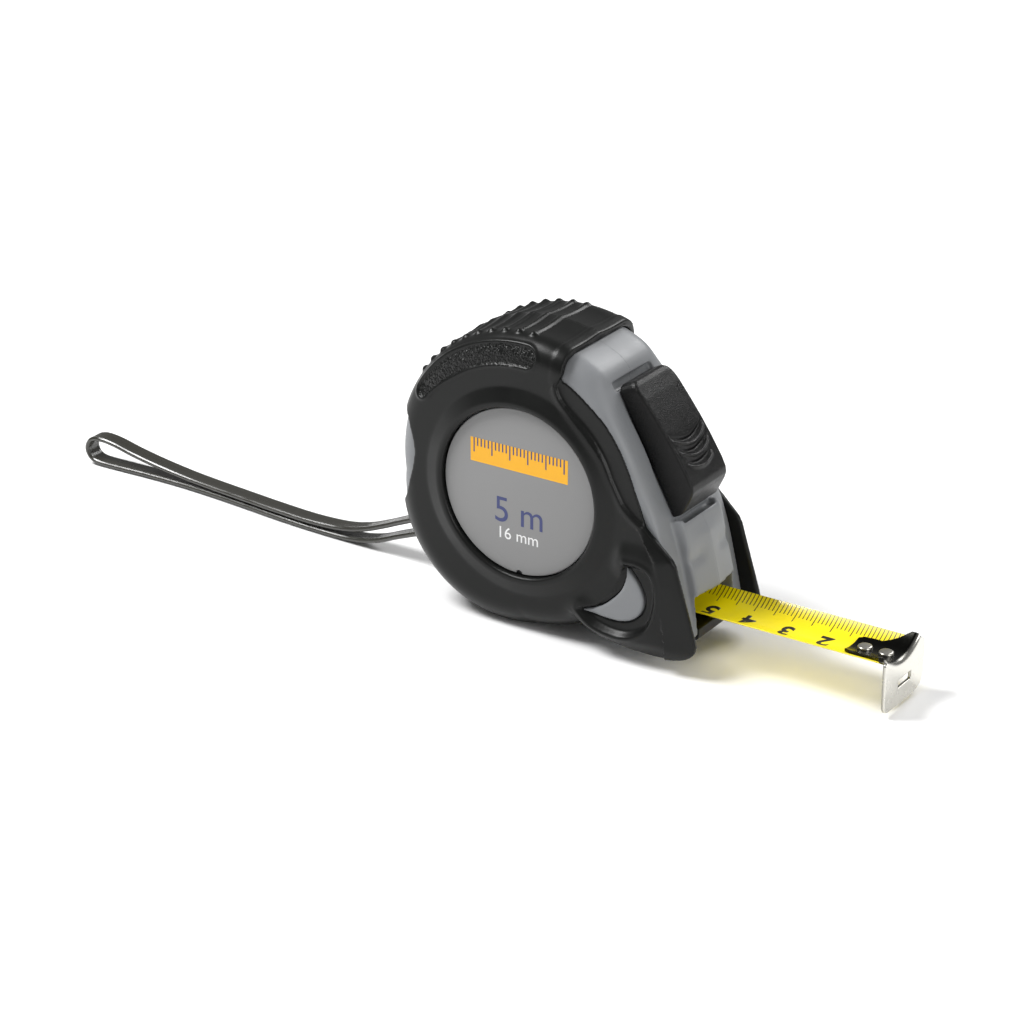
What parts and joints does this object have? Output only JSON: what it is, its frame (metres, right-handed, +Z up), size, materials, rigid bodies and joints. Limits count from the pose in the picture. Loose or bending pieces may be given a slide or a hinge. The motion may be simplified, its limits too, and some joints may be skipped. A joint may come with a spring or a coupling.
{
  "type": "tape measure",
  "caption": "Pocket tape measure: rubber-armoured round case with a flared nose, thumb lock, concave blade with end hook and a flat wrist strap.",
  "frame": {"origin": "on the floor, straight under the spool's axis and on the case's mid-plane", "axes": "+X forward along the blade towards the hook, -Y towards the label side, +Z up"},
  "size_m": [0.2457, 0.0378, 0.0754],
  "materials": {
    "abs_grey": "fine moulded texture",
    "rubber_black": "satin moulded rubber",
    "label_grey": "smooth printed disc",
    "lock_black": "satin moulded",
    "plain_steel": "zinc plated",
    "acetal": "moulded acetal",
    "spring_steel": "blued strip",
    "blade_yellow": "painted steel strip",
    "hook_chrome": "nickel chrome plated",
    "strap_black": "glossy flat strap"
  },
  "bodies": {
    "case": {"case_left": "abs_grey", "case_right": "abs_grey", "grip_left": "rubber_black", "grip_right": "rubber_black", "label_left": "label_grey", "label_right": "label_grey", "centre_post": "plain_steel", "mainspring": "spring_steel", "tape_lead": "blade_yellow", "mouth_bumper": "rubber_black", "case_screws": "plain_steel", "strap_pin": "plain_steel", "wrist_strap": "strap_black", "belt_clip": "hook_chrome", "clip_screw": "plain_steel"},
    "blade": {"tape_blade": "blade_yellow", "hook_rivets": "hook_chrome"},
    "hook": {"end_hook": "hook_chrome"},
    "spool": {"spool_drum": "acetal", "spool_lid": "acetal", "tape_coil": "blade_yellow"},
    "lock": {"lock_button": "lock_black", "lock_arm": "lock_black"}
  },
  "joints": [
    {"name": "blade_slide", "type": "slide", "parent": "case", "child": "blade", "axis": [1, 0, 0], "range_m": [-0.0465, 0.0105], "deforming": ["tape_lead"]},
    {"name": "hook_play", "type": "slide", "parent": "blade", "child": "hook", "axis": [1, 0, 0], "range_m": [-0.0009, 0]},
    {"name": "spool_spin", "type": "hinge", "parent": "case", "child": "spool", "pos_m": [0, 0, 0.038], "axis": [0, 1, 0], "range_deg": [-26, 112], "deforming": ["mainspring"]},
    {"name": "lock_slide", "type": "slide", "parent": "case", "child": "lock", "axis": [-0.4772, 0, 0.8788], "range_m": [0, 0.005]}
  ],
  "couplings": [
    {"joint": "spool_spin", "follows": "blade_slide", "rad_per_m": -41.494}
  ]
}
